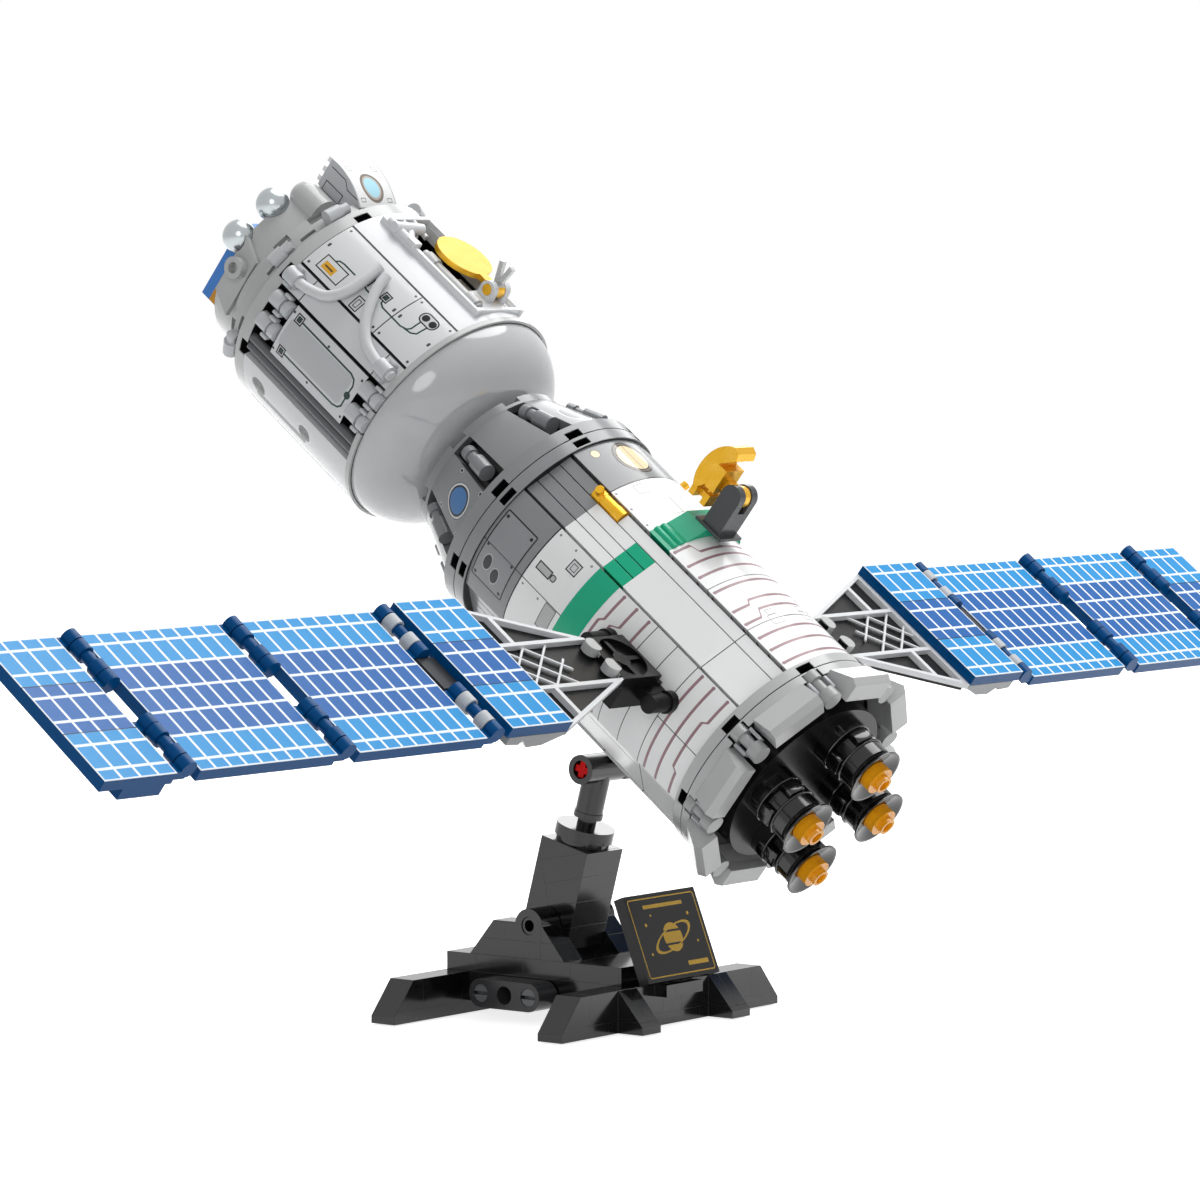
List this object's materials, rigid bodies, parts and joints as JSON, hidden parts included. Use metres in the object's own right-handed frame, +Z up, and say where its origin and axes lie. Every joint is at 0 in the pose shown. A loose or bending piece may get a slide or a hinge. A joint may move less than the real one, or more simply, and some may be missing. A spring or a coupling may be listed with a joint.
{
  "type": "brick-built crewed spacecraft display model",
  "caption": "Three-module crewed spacecraft, a brick-built display model on a leaning column stand, with folding solar wings, tilting dishes and engine nozzles.",
  "frame": {"origin": "on the floor under the middle of the model's box", "axes": "+X towards the right wing tip, +Y the way the nose points over the floor, +Z up"},
  "size_m": [0.5164, 0.221, 0.2308],
  "materials": {
    "stand_black": "moulded, glossy",
    "axle_red": "moulded, glossy",
    "plaque_black": "moulded, glossy, thin gold rim",
    "core_black": "moulded, glossy",
    "hull_white": "moulded, satin gloss with fine printed panel lines",
    "band_green": "moulded, glossy",
    "shell_dark_grey": "moulded, satin gloss",
    "ring_light_grey": "moulded, satin gloss",
    "tip_orange": "moulded, transparent",
    "hose_grey": "flexible, satin",
    "ball_chrome": "chrome plated plastic",
    "wing_blue": "moulded, glossy, printed cell grid",
    "plate_blue": "moulded, satin gloss",
    "gold": "pearl gold plastic"
  },
  "bodies": {
    "root": {"stand_legs": "stand_black", "stand_body": "stand_black", "stand_beams": "stand_black", "stand_pins": "stand_black", "stand_cheeks": "stand_black", "stand_column": "stand_black", "stand_post": "stand_black", "stand_axle": "axle_red", "stand_plaque": "plaque_black", "service_core": "core_black", "service_shells": "hull_white", "service_strips": "hull_white", "green_band": "band_green", "fore_shells": "shell_dark_grey", "fore_strips": "shell_dark_grey", "aft_ring": "ring_light_grey", "petals": "ring_light_grey", "petal_clips": "ring_light_grey", "engine_block": "core_black", "nozzles": "core_black", "nozzle_tips": "tip_orange", "craft_lug": "core_black", "reentry_core": "core_black", "reentry_ring": "shell_dark_grey", "reentry_panels": "shell_dark_grey", "bell_rim": "shell_dark_grey", "bay_taps": "ring_light_grey", "neck": "core_black", "dome": "ring_light_grey", "orbital_core": "core_black", "orbital_hatches": "hull_white", "orbital_sides": "hull_white", "orbital_roof": "hull_white", "orbital_rings": "ring_light_grey", "orbital_rails": "ring_light_grey", "orbital_clips": "ring_light_grey", "bay_parts": "ring_light_grey", "hoses": "hose_grey", "nose_hub": "ring_light_grey", "nose_balls": "ball_chrome", "instrument_box": "hull_white", "side_plates": "ring_light_grey", "nose_block": "ring_light_grey", "nose_plate": "plate_blue", "dish_arm": "shell_dark_grey", "gold_taps": "gold", "left_frame": "core_black", "left_truss": "ring_light_grey", "left_inner_panel": "wing_blue", "right_frame": "core_black", "right_truss": "ring_light_grey", "right_inner_panel": "wing_blue"},
    "left_panel_a": {"left_panel_a": "wing_blue"},
    "left_panel_b": {"left_panel_b": "wing_blue"},
    "left_outer_panel": {"left_outer_panel": "wing_blue"},
    "right_panel_a": {"right_panel_a": "wing_blue"},
    "right_panel_b": {"right_panel_b": "wing_blue"},
    "right_outer_panel": {"right_outer_panel": "wing_blue"},
    "gold_dish": {"gold_dish": "gold"},
    "gold_disc": {"gold_disc": "gold"}
  },
  "joints": [
    {"name": "left_fold_1", "type": "hinge", "parent": "root", "child": "left_panel_a", "pos_m": [-0.1182, -0.05676, 0.10112], "axis": [0, 0.788, 0.6157], "range_deg": [-90, 90]},
    {"name": "left_fold_2", "type": "hinge", "parent": "left_panel_a", "child": "left_panel_b", "pos_m": [-0.1742, -0.05676, 0.10112], "axis": [0, -0.788, -0.6157], "range_deg": [-90, 90]},
    {"name": "left_fold_3", "type": "hinge", "parent": "left_panel_b", "child": "left_outer_panel", "pos_m": [-0.2302, -0.05676, 0.10112], "axis": [0, 0.788, 0.6157], "range_deg": [-90, 90]},
    {"name": "right_fold_1", "type": "hinge", "parent": "root", "child": "right_panel_a", "pos_m": [0.1182, -0.05676, 0.10112], "axis": [0, -0.788, -0.6157], "range_deg": [-90, 90]},
    {"name": "right_fold_2", "type": "hinge", "parent": "right_panel_a", "child": "right_panel_b", "pos_m": [0.1742, -0.05676, 0.10112], "axis": [0, 0.788, 0.6157], "range_deg": [-90, 90]},
    {"name": "right_fold_3", "type": "hinge", "parent": "right_panel_b", "child": "right_outer_panel", "pos_m": [0.2302, -0.05676, 0.10112], "axis": [0, -0.788, -0.6157], "range_deg": [-90, 90]},
    {"name": "dish_tilt", "type": "hinge", "parent": "root", "child": "gold_dish", "pos_m": [0, -0.06214, 0.14032], "axis": [1, 0, 0], "range_deg": [-12, 90]},
    {"name": "disc_tilt", "type": "hinge", "parent": "root", "child": "gold_disc", "pos_m": [0.003, 0.0215, 0.19424], "axis": [1, 0, 0], "range_deg": [0, 90]}
  ]
}
